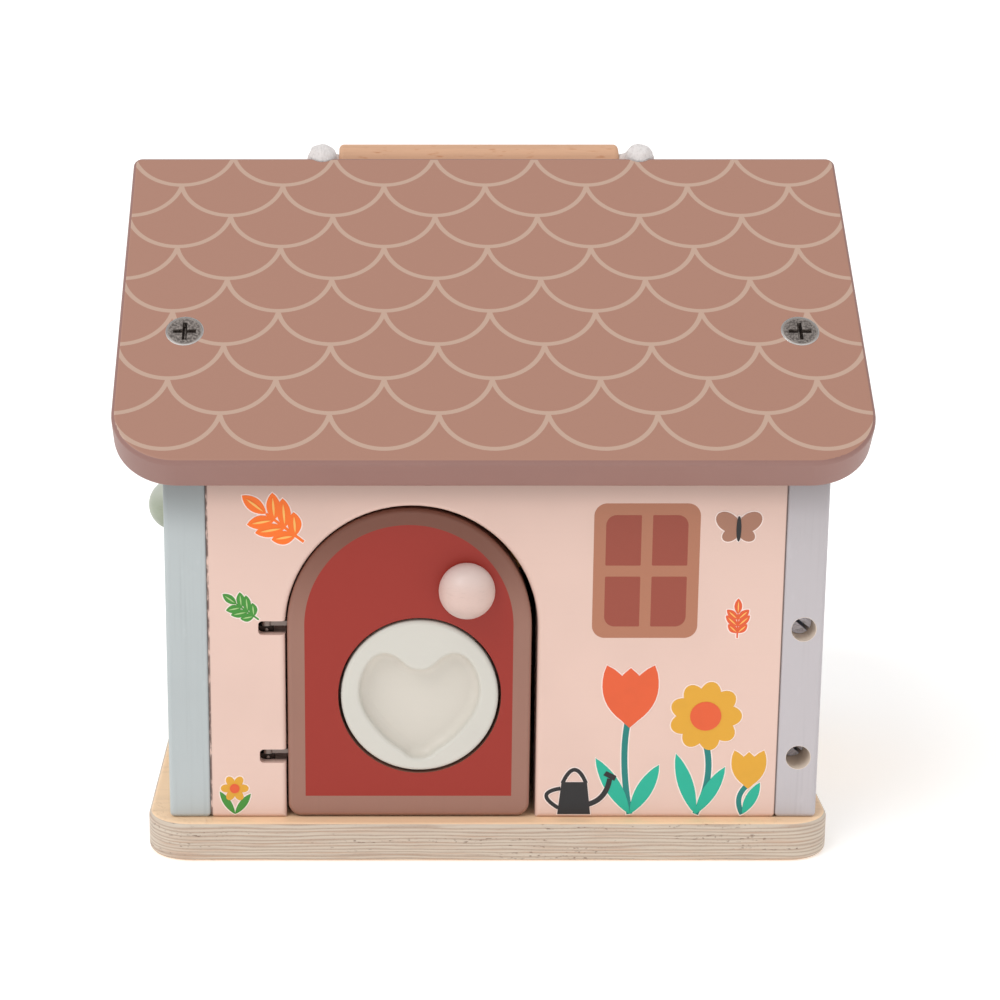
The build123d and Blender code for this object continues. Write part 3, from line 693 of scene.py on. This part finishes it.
class HOUSE_OT_panels(bpy.types.Operator):
    """Paint the front and back panels pink and print their windows"""

    bl_idname = "house.panels"
    bl_label = "Panels"

    def execute(self, context):
        paints = context.scene.house_paints
        eave_drop = 4.6
        for node, outward, windows in (
            ("front_panel", (0.0, -1.0, 0.0), (WINDOW_X,)),
            ("back_panel", (0.0, 1.0, 0.0), (-WINDOW_X, WINDOW_X)),
        ):
            name = node + "_printed_satin_paint"
            shader, place = painted_wood(node, name, paints.panel, "X", streak=0.08)
            face = on_outer_face(place, outward, PANEL_FACE)
            # Painted shadow of the eave: the panel is painted darker just below the eave
            tint(shader, painted_eave_shadow(place, eave_drop), scaled(paints.panel, EAVE_PAINTED_SHADE))
            for x in windows:
                printed_window(shader, place, face, x)
            # Dirt lies in the joints with the walls: broad and broken beside the left wall,
            # and a hairline beside the right wall
            across = add_node("SeparateXYZ", {0: place})
            dirt = stretched_noise(place, (0.8, 0.8, 2.0), detail=4.0)
            broken = contrast(dirt, 0.3, 0.55)
            left_edge, right_edge = WALLS_CENTRE - PANEL_EDGE, WALLS_CENTRE + PANEL_EDGE
            left_rim = contrast(across, left_edge + 0.6, left_edge + 0.35)
            right_rim = contrast(across, right_edge - 0.4, right_edge - 0.2)
            tint(shader, both(left_rim, broken), paints.groove, 0.95)
            tint(shader, right_rim, paints.groove, 0.8)
        return {"FINISHED"}


class HOUSE_OT_roof(bpy.types.Operator):
    """Paint both roof boards and print their rows of scallops"""

    bl_idname = "house.roof"
    bl_label = "Roof boards"

    def execute(self, context):
        paints = context.scene.house_paints
        sizes = context.scene.house_sizes
        line = sizes.scallop_line / MM
        rise = sizes.scallop_rise / MM
        foot = sizes.scallop_foot / MM - line / 2
        pitch = 2 * ROOF_HALF_WIDTH / SCALLOPS_ACROSS
        ridge = (0.0, 0.0, RIDGE_TOP)
        for node, out in (("roof_front", -1.0), ("roof_back", 1.0)):
            name = node + "_printed_satin_paint"
            shader, place = painted_wood(node, name, paints.roof_edge, "X", streak=0.12)
            from_ridge = add_node("VectorMath", {0: place, 1: ridge}, "SUBTRACT")
            outward = (0.0, out * math.sin(ROOF_PITCH), math.cos(ROOF_PITCH))
            uphill = (0.0, -out * math.cos(ROOF_PITCH), math.sin(ROOF_PITCH))
            face = on_outer_face(from_ridge, outward, 0.0)
            # Which row a point lies in, and how far up that row it lies
            climb = add_node("VectorMath", {0: from_ridge, 1: uphill}, "DOT_PRODUCT", "Value")
            rows = add_node("Math", {0: climb, 1: ROOF_SLOPE - foot}, "ADD")
            above_eave = add_node("Math", {0: rows, 1: 0.0}, "GREATER_THAN")
            row = add_node("Math", {0: rows, 1: rise}, "DIVIDE")
            number = add_node("Math", {0: row}, "FLOOR")
            odd = add_node("Math", {0: number, 1: 2.0}, "FLOORED_MODULO")
            within = add_node("Math", {0: row}, "FRACT")
            height = add_node("Math", {0: within, 1: rise}, "MULTIPLY")
            # Odd rows stand half a scallop aside
            across = add_node("SeparateXYZ", {0: place})
            shifted = add_node("Math", {0: odd, 1: pitch / 2, 2: across}, "MULTIPLY_ADD")
            started = add_node("Math", {0: shifted, 1: ROOF_HALF_WIDTH}, "ADD")
            scallop = add_node("Math", {0: started, 1: pitch}, "FLOORED_MODULO")
            centred = add_node("Math", {0: scallop, 1: pitch / 2}, "SUBTRACT")
            # Each line is an arc about a point above the row
            lowered = add_node("Math", {0: height, 1: SCALLOP_RADIUS + line / 2}, "SUBTRACT")
            spoke = add_node("CombineXYZ", {0: centred, 1: lowered})
            reach = add_node("VectorMath", {0: spoke}, "LENGTH", "Value")
            off_arc = add_node("Math", {0: reach, 1: SCALLOP_RADIUS}, "SUBTRACT")
            off_arc = add_node("Math", {0: off_arc}, "ABSOLUTE")
            on_line = add_node("Math", {0: off_arc, 1: line / 2}, "LESS_THAN")
            tint(shader, face, paints.roof)
            lines = both(face, both(on_line, above_eave))
            tint(shader, lines, paints.scallop)
        return {"FINISHED"}


class HOUSE_OT_doors(bpy.types.Operator):
    """Paint the three doors and print the arched panel on each"""

    bl_idname = "house.doors"
    bl_label = "Doors"

    def execute(self, context):
        paints = context.scene.house_paints
        front, left, right = (0.0, -1.0, 0.0), (-1.0, 0.0, 0.0), (1.0, 0.0, 0.0)
        border, head_border, foot_border = 3.75, 3.45, 4.9
        # The front door's print lies a little left of the door's middle
        print_shift = -0.1
        # Below the head: where the painted shade of the eave's shadow starts and where it is full
        shade_from, shade_to = 28.4, 3.4
        for node, outward, face, centre, top, body, panel in (
            (
                "front_door", front, PANEL_FACE, FRONT_DOOR_X + print_shift, FRONT_DOOR_TOP,
                paints.door_border, paints.door_face,
            ),
            (
                "left_door", left, LEFT_FACE, 0.0, SIDE_DOOR_TOP,
                paints.side_door, paints.left_door_face,
            ),
            (
                "right_door", right, RIGHT_FACE, 0.0, SIDE_DOOR_TOP,
                paints.side_door, paints.right_door_face,
            ),
        ):
            shader, place = painted_wood(node, node + "_printed_satin_paint", body, "Z", streak=0.3)
            head = BASE_TOP + top
            if node == "front_door":
                # Its border is painted darker towards the head of the arch, as painted shade for
                # the eave's shadow
                height = add_node("SeparateXYZ", {0: place}, out=2)
                shade = contrast(height, head - shade_from, head - shade_to)
                tint(shader, shade, paints.door_head_painted_shade)
            half, foot = DOOR_HALF_WIDTH - border, BASE_TOP + foot_border
            arch = arched_panel(place, outward, centre, half, foot, head - head_border)
            print_mask = both(arch, on_outer_face(place, outward, face))
            tint(shader, print_mask, panel)
        return {"FINISHED"}


class HOUSE_OT_knobs(bpy.types.Operator):
    """Paint the turned knobs"""

    bl_idname = "house.knobs"
    bl_label = "Knobs"

    def execute(self, context):
        paints = context.scene.house_paints
        for node, rgb, middle in (
            ("front_door_knob", paints.front_knob, FRONT_KNOB_Z),
            ("left_door_knob", paints.left_knob, SIDE_KNOB_Z),
            ("right_door_knob", paints.right_knob, SIDE_KNOB_Z),
        ):
            # Thin paint on a turned beech ball lets the rays show as fine broken dashes
            name = node + "_thin_satin_paint"
            shader, place = painted_wood(node, name, rgb, "Z", streak=0.2, gloss=0.4)
            rays = stretched_noise(place, (1.6, 1.6, 0.22), detail=3.0)
            tint(shader, contrast(rays, 0.52, 0.75), scaled(rgb, 0.84), 0.5)
            roughen(shader, rays, 0.05, 0.5)
            shader.inputs["Sheen Weight"].default_value = 0.2
            # The upper half is painted lighter as a painted highlight, and the lower part darker as
            # painted shade
            height = add_node("SeparateXYZ", {0: place}, out=2)
            upper = contrast(height, middle, middle + KNOB_FADE)
            lower = contrast(height, middle - 1.0, middle - 1.0 - KNOB_FADE)
            tint(shader, upper, lighter(rgb, 0.25))
            tint(shader, lower, scaled(rgb, 0.78))
        return {"FINISHED"}


class HOUSE_OT_dial(bpy.types.Operator):
    """Lacquer the heart dial cream"""

    bl_idname = "house.dial"
    bl_label = "Heart dial"

    def execute(self, context):
        paints = context.scene.house_paints
        # Sprayed satin lacquer on milled wood: smooth, soft highlights, a little warmth in
        # the pocket, where the lacquer lies thicker.
        shader, place = painted_wood(
            "heart_dial", "dial_satin_lacquer", paints.dial, "X", streak=0.1, gloss=0.38
        )
        depth = add_node("SeparateXYZ", {0: place}, out=1)
        pocket = contrast(depth, DIAL_CENTRE[1] + 0.6, DIAL_CENTRE[1] + 2.4)
        tint(shader, pocket, linear("#D6CEC2"), 0.6)
        shader.inputs["Sheen Weight"].default_value = 0.12
        return {"FINISHED"}


def plated_steel(name, middle, centre, flat):
    """Zinc-plated steel, ringed about centre and its mirror images about middle."""
    metals = bpy.context.scene.house_metals
    # Zinc plating on stamped steel: grey, soft mirror, mottled, with a painted highlight on its rim
    # for the bright reflection there, and fine rings from the cutter at two tenths of a millimetre.
    material, shader = new_material(name, metals.zinc, metallic=1.0, roughness=0.34)
    place = in_millimetres(shader)
    shifted = add_node("VectorMath", {0: place, 1: middle}, "SUBTRACT")
    folded = add_node("VectorMath", {0: shifted}, "ABSOLUTE")
    spoke = add_node("VectorMath", {0: folded, 1: centre}, "SUBTRACT")
    spoke = add_node("VectorMath", {0: spoke, 1: flat}, "MULTIPLY")
    reach = add_node("VectorMath", {0: spoke}, "LENGTH", "Value")
    mottle = stretched_noise(place, (0.5, 0.5, 0.5), detail=4.0)
    painted_rim_highlight = contrast(reach, 3.5, 3.75)
    tint(shader, painted_rim_highlight, lighter(metals.zinc, 0.45), 0.8)
    dull = both(contrast(reach, 3.6, 3.2), contrast(mottle, 0.36, 0.6))
    tint(shader, dull, metals.zinc_dull, 0.75)
    rings = add_node("Math", {0: reach, 1: math.tau / 0.22}, "MULTIPLY")
    rings = add_node("Math", {0: rings}, "SINE")
    chamfer = contrast(reach, 3.98, 3.55)
    roughen(shader, chamfer, 0.35)
    roughen(shader, rings, 0.006, 0.5)
    roughen(shader, mottle, 0.06, 0.7)
    return material


class HOUSE_OT_screws(bpy.types.Operator):
    """Plate the wood screws and the dial's pivot screw and washer"""

    bl_idname = "house.screws"
    bl_label = "Screws"

    def execute(self, context):
        middle = (SCREWS_CENTRE, 0.0, 0.0)
        slope = math.cos(ROOF_PITCH)
        roof_place = (SCREW_X, ROOF_SCREW_FROM_RIDGE * slope, 0.0)
        base_place = (SCREW_X, BASE_SCREW_Y, 0.0)
        roof = plated_steel("zinc_plated_steel_roof", middle, roof_place, (1.0, 1 / slope, 0.0))
        base = plated_steel("zinc_plated_steel_base", middle, base_place, (1.0, 1.0, 0.0))
        nowhere = (0.0, 0.0, 0.0)
        pivot = plated_steel("zinc_plated_steel_pivot", DIAL_CENTRE, nowhere, (1.0, 0.0, 1.0))
        dress("roof_screws", roof)
        dress("base_screws", base)
        dress("dial_screw", pivot)
        dress("dial_washer", pivot)
        return {"FINISHED"}


class HOUSE_OT_hinges(bpy.types.Operator):
    """Finish the hinge leaves, rods and pins"""

    bl_idname = "house.hinges"
    bl_label = "Hinges"

    def execute(self, context):
        metals = context.scene.house_metals
        # Cold-rolled leaves are dull and brownish with fine rolling lines; sawn rods are
        # brighter, with torn dark patches at their cut ends.
        leaf, shader = new_material("cold_rolled_steel", metals.hinge, metallic=1.0, roughness=0.5)
        place = in_millimetres(shader)
        lines = stretched_noise(place, (6.0, 6.0, 0.15), detail=3.0)
        tint(shader, contrast(lines, 0.45, 0.75), scaled(metals.hinge, 0.6), 0.6)
        roughen(shader, lines, 0.02, 0.5)
        rod, shader = new_material("sawn_steel", metals.rod, metallic=0.35, roughness=0.4)
        place = in_millimetres(shader)
        torn = stretched_noise(place, (0.8, 0.8, 0.35), detail=4.0)
        tint(shader, contrast(torn, 0.45, 0.7), scaled(metals.rod, 0.5), 0.7)
        roughen(shader, torn, 0.3, 1.0)
        # The front rods are near-black, nearly matt steel: painted shade that stands for the dark
        # deep in the front panel's slots
        dark_rod, shader = new_material(
            "slot_shade_steel", metals.black, metallic=0.6, roughness=0.6
        )
        skin = stretched_noise(in_millimetres(shader), (0.7, 0.7, 0.7), detail=3.0)
        tint(shader, skin, scaled(metals.black, 2.0), 0.5)
        for side, rod_finish in (("front", dark_rod), ("left", rod), ("right", rod)):
            dress(side + "_hinge_leaves", leaf)
            dress(side + "_hinge_rods", rod_finish)
            dress(side + "_hinge_pins", leaf)
        return {"FINISHED"}


def bare_beech(name, rgb, fleck, along):
    """Sanded bare beech."""
    # Beech is an even pinkish beige with short darker ray flecks, 1 to 3 mm long and a
    # third of a millimetre wide, along the grain, and barely any shine.
    material, shader = new_material(name, rgb, roughness=0.62, ior=1.45)
    place = in_millimetres(shader)
    bands = stretched_noise(place, grain(along, 45.0, 2.2), detail=3.0)
    flecks = stretched_noise(place, grain(along, 4.2, 0.7))
    pores = stretched_noise(place, grain(along, 6.0, 0.18))
    tint(shader, contrast(bands, 0.42, 0.66), scaled(rgb, 0.87), 0.6)
    tint(shader, contrast(flecks, 0.6, 0.74), fleck, 0.75)
    tint(shader, contrast(pores, 0.5, 0.8), scaled(rgb, 0.8), 0.45)
    roughen(shader, pores, 0.04, 0.5)
    return material


class HOUSE_OT_bare_wood(bpy.types.Operator):
    """Finish the grip and the door stops in bare wood"""

    bl_idname = "house.bare_wood"
    bl_label = "Grip and stops"

    def execute(self, context):
        woods = context.scene.house_woods
        dress("handle_grip", bare_beech("sanded_beech", woods.beech, woods.beech_fleck, "X"))
        stops = bare_beech("oiled_beech", woods.oiled, scaled(woods.oiled, 0.6), "Z")
        for side in ("front", "left", "right"):
            dress(side + "_door_stop", stops)
        return {"FINISHED"}


def almond(foot, tip, width, steps=10):
    """A leaf or petal outline from its foot to its tip."""
    foot, tip = Vector(foot), Vector(tip)
    along = tip - foot
    across = Vector((-along.y, along.x)).normalized() * width / 2
    shares = [step / steps for step in range(steps + 1)]
    right = [foot + along * s + across * math.sin(math.pi * s) ** 0.8 for s in shares]
    left = [foot + along * s - across * math.sin(math.pi * s) ** 0.8 for s in shares[-2:0:-1]]
    return right + left


def blob(centre, wide, tall, tilt=0.0, steps=24):
    """An ellipse outline."""
    centre = Vector(centre)
    turn = Matrix.Rotation(tilt, 2)
    return [
        centre + turn @ Vector((wide * math.cos(a), tall * math.sin(a)))
        for a in (math.tau * step / steps for step in range(steps))
    ]


def stroke(points, width, steps=14):
    """A ribbon outline along a bent line through three points."""
    start, middle, end = (Vector(point) for point in points)
    bend = middle * 2 - (start + end) / 2
    line = []
    for step in range(steps + 1):
        s = step / steps
        line.append(start * (1 - s) ** 2 + bend * 2 * s * (1 - s) + end * s**2)
    sides = ([], [])
    for index, point in enumerate(line):
        ahead = line[min(index + 1, steps)] - line[max(index - 1, 0)]
        across = Vector((-ahead.y, ahead.x)).normalized() * width / 2
        sides[0].append(point + across)
        sides[1].append(point - across)
    return sides[0] + sides[1][::-1]


def sprig(colour, vein_colour, foot, tip, leaf, width):
    """A stem with slim leaflets in pairs and one at its tip, then the leaflets' veins."""
    foot, tip = Vector(foot), Vector(tip)
    along = tip - foot
    rests = [(tip, tip + along.normalized() * leaf)]
    for share, size in ((0.22, 0.8), (0.5, 1.0), (0.78, 0.92)):
        root = foot + along * share
        for turn in (-1, 1):
            direction = Matrix.Rotation(turn * math.radians(48), 2) @ along.normalized()
            rests.append((root, root + direction * leaf * size))
    middle = (foot + tip) / 2
    leaves = [stroke((foot, middle, tip), width * 0.2)]
    veins = []
    for root, end in rests:
        leaves.append(almond(root, end, width))
        veins.append(almond(root.lerp(end, 0.12), root.lerp(end, 0.82), width * 0.16))
    return [(colour, 2, leaves), (vein_colour, 4, veins)]


def polygon(*places):
    """A polygon's outline."""
    return [Vector(place) for place in places]


def blades(*rows):
    """Leaves from the ground: X of each foot, X and Z of its tip, and its width."""
    return [almond((x, GROUND), (tip_x, tip_z), width) for x, tip_x, tip_z, width in rows]


def tulip(centre, size):
    """Three overlapping pointed petals."""
    x, z = centre
    rise, spread = size * 0.55, size * 0.42
    petals = [
        almond((x, z - rise), (x + side * spread, z + rise), size * 0.5) for side in (-1, 1)
    ]
    return [*petals, almond((x, z - size * 0.6), (x, z + size * 0.5), size * 0.62)]


def blossom(centre, reach, petals):
    """A ring of round petals."""
    x, z = centre
    ring = []
    for step in range(petals):
        angle = math.tau * step / petals
        middle = (x + reach * 0.62 * math.cos(angle), z + reach * 0.62 * math.sin(angle))
        ring.append(blob(middle, reach * 0.4, reach * 0.3, angle))
    return ring


def grown(outline, amount):
    """An outline moved outward by amount all round."""
    after = outline[1:] + outline[:1]
    area = sum(one.x * other.y - other.x * one.y for one, other in zip(outline, after))
    reach = math.copysign(amount, area)
    wider = []
    for index, point in enumerate(outline):
        ahead = after[index] - outline[index - 1]
        wider.append(point + Vector((ahead.y, -ahead.x)).normalized() * reach)
    return wider


# The prints: an ink, a layer and the outlines in X and Z for each piece, in millimetres
FRONT_GARDEN = [
    ("stem", 1, [stroke(((30, GROUND), (28.6, 22), (29.5, 32)), 1.3)]),
    ("stem", 1, [stroke(((44, GROUND), (46.4, 18), (45.5, 26)), 1.3)]),
    ("stem", 1, [stroke(((54, GROUND), (53.2, 13), (55, 16)), 1.1)]),
    (
        "leaf", 2,
        blades(
            (30, 22.5, 22, 3.4), (30, 36, 20.5, 3.4), (44, 39.5, 23, 3.2),
            (44, 50, 20, 3.0), (54, 57.5, 16.5, 2.4),
        ),
    ),
    ("orange", 3, tulip((29.5, 36), 12.0)),
    ("yellow", 3, blossom((45.5, 31.4), 7.5, 9)),
    ("orange", 5, [blob((45.5, 31.4), 3.3, 3.2)]),
    ("yellow", 3, tulip((55, 19.6), 7.5)),
    # The watering can: body, spout, rose, back handle and top handle
    (
        "charcoal", 3,
        [
            polygon((14.6, GROUND), (21.6, GROUND), (20.8, 16.6), (15.4, 16.6)),
            stroke(((20.6, 11.5), (24.0, 13.4), (25.6, 17.4)), 1.1),
            polygon((24.2, 18.2), (26.6, 16.9), (27.0, 18.0), (24.9, 19.1)),
            stroke(((15.2, 15.2), (12.2, 13.6), (14.8, 10.8)), 0.8),
            stroke(((15.6, 16.4), (18.1, 19.4), (20.6, 16.4)), 0.8),
        ],
    ),
    # The butterfly: upper wings, lower wings and body
    (
        "wing", 3,
        [
            blob((51 + side * out, z), wide, tall, side * math.radians(tilt))
            for out, z, wide, tall, tilt in ((2.3, 73.6, 2.7, 1.9, 35), (1.7, 70.9, 1.8, 1.3, -30))
            for side in (-1, 1)
        ],
    ),
    ("charcoal", 5, [blob((51, 72.2), 0.5, 2.7)]),
    *sprig("orange", "amber_vein", (51.5, 48.6), (51.5, 53.8), 3.4, 1.6),
    *sprig("amber", "amber_vein", (-38.9, 69.4), (-46.6, 75.4), 6.3, 2.9),
    *sprig("green", "green_vein", (-48.4, 52.6), (-53.0, 56.0), 3.6, 1.75),
    ("green", 2, blades((-54, -57.2, 14.5, 1.6), (-54, -50.6, 14, 1.6))),
    ("yellow", 3, blossom((-54, 15.2), 2.9, 6)),
    ("orange", 5, [blob((-54, 15.2), 1.05, 1.05)]),
]
BACK_GARDEN = [
    ("stem", 1, [stroke(((-9, GROUND), (-10, 24), (-8.5, 37)), 1.2)]),
    ("stem", 1, [stroke(((9, GROUND), (11, 20), (9, 30)), 1.2)]),
    (
        "leaf", 2,
        blades(
            (-9, -16, 24, 3.4), (-9, -3, 22, 3.4), (9, 3.5, 21, 3.2), (9, 15.5, 22, 3.2)
        ),
    ),
    ("yellow", 3, blossom((-8.5, 42), 6.8, 8)),
    ("orange", 5, [blob((-8.5, 42), 2.6, 2.5)]),
    ("orange", 3, tulip((9, 34), 10.0)),
    *sprig("amber", "amber_vein", (0.5, 64), (-1.5, 70), 5.2, 2.4),
]


def ink(name, rgb):
    """Screen-printed ink."""
    # A flat opaque film, a little glossier than the paint below, with a faint mesh texture
    # of three tenths of a millimetre from the screen.
    material, shader = new_material(name, rgb, roughness=0.42, ior=1.48)
    place = in_millimetres(shader)
    mesh_marks = stretched_noise(place, (0.3, 0.3, 0.3), detail=1.0)
    cover = stretched_noise(place, (5.0, 5.0, 5.0))
    tint(shader, contrast(cover, 0.45, 0.75), scaled(rgb, 0.93), 0.5)
    roughen(shader, mesh_marks, 0.01, 0.5)
    return material


def print_film(name, outlines, material, face, out, layer, film):
    """Outlines in X and Z as thin ink on a panel's outer face, layer films proud of it."""
    work = bmesh.new()
    sunk = 0.02
    inner = out * (face - sunk)
    for number, outline in enumerate(outlines):
        # Outlines of one layer lie a hair apart, so that none flickers through another
        outer = out * (face + (layer + number / (4 * len(outlines))) * film / MM)
        low = [work.verts.new((point.x * MM, inner * MM, point.y * MM)) for point in outline]
        high = [work.verts.new((point.x * MM, outer * MM, point.y * MM)) for point in outline]
        work.faces.new(low)
        work.faces.new(high)
        for index in range(len(outline)):
            after = (index + 1) % len(outline)
            work.faces.new((low[index], low[after], high[after], high[index]))
    mesh = finish_mesh(work, name, smooth=False)
    return keep(name, mesh, material, "house")


class HOUSE_OT_prints(bpy.types.Operator):
    """Print plain garden motifs on the front and back panels"""

    bl_idname = "house.prints"
    bl_label = "Garden prints"

    def execute(self, context):
        prints = context.scene.house_prints
        inks = {
            name: ink(name + "_ink", getattr(prints, name))
            for name in (
                "yellow", "orange", "amber", "leaf", "stem", "green", "charcoal", "wing",
                "amber_vein", "green_vein", "rim",
            )
        }
        rim_width = 0.26
        for side, out, motifs in (("front", -1, FRONT_GARDEN), ("back", 1, BACK_GARDEN)):
            rims = [grown(outline, rim_width) for motif in motifs for outline in motif[2]]
            for number, (colour, layer, outlines) in enumerate([("rim", 0.5, rims), *motifs]):
                name = f"{side}_print_{number:02d}_{colour}"
                print_film(name, outlines, inks[colour], PANEL_FACE, out, layer, prints.film)
        return {"FINISHED"}


class HOUSE_PT_sidebar(bpy.types.Panel):
    bl_label = "Activity House"
    bl_idname = "HOUSE_PT_sidebar"
    bl_space_type = "VIEW_3D"
    bl_region_type = "UI"
    bl_category = "Activity House"

    def draw(self, context):
        for group in property_groups:
            box = self.layout.box()
            box.label(text=group)
            settings = getattr(context.scene, group)
            for key in settings.__annotations__:
                box.prop(settings, key)
        for step in steps:
            self.layout.operator(step.bl_idname)


property_groups = {
    "house_paints": HousePaints,
    "house_woods": HouseWoods,
    "house_metals": HouseMetals,
    "house_prints": HousePrints,
    "house_sizes": HouseSizes,
}
steps = (
    HOUSE_OT_stage,
    HOUSE_OT_carry_cord,
    HOUSE_OT_cord_ends,
    HOUSE_OT_base_plate,
    HOUSE_OT_walls,
    HOUSE_OT_panels,
    HOUSE_OT_roof,
    HOUSE_OT_doors,
    HOUSE_OT_knobs,
    HOUSE_OT_dial,
    HOUSE_OT_screws,
    HOUSE_OT_hinges,
    HOUSE_OT_bare_wood,
    HOUSE_OT_prints,
)


def register():
    for group in (*property_groups.values(), *steps, HOUSE_PT_sidebar):
        bpy.utils.register_class(group)
    for name, group in property_groups.items():
        setattr(bpy.types.Scene, name, bpy.props.PointerProperty(type=group))


def unregister():
    for name in property_groups:
        delattr(bpy.types.Scene, name)
    for group in reversed((*property_groups.values(), *steps, HOUSE_PT_sidebar)):
        bpy.utils.unregister_class(group)


def main():
    register()
    for step in steps:
        family, name = step.bl_idname.split(".")
        getattr(getattr(bpy.ops, family), name)()


if __name__ == "__main__":
    main()
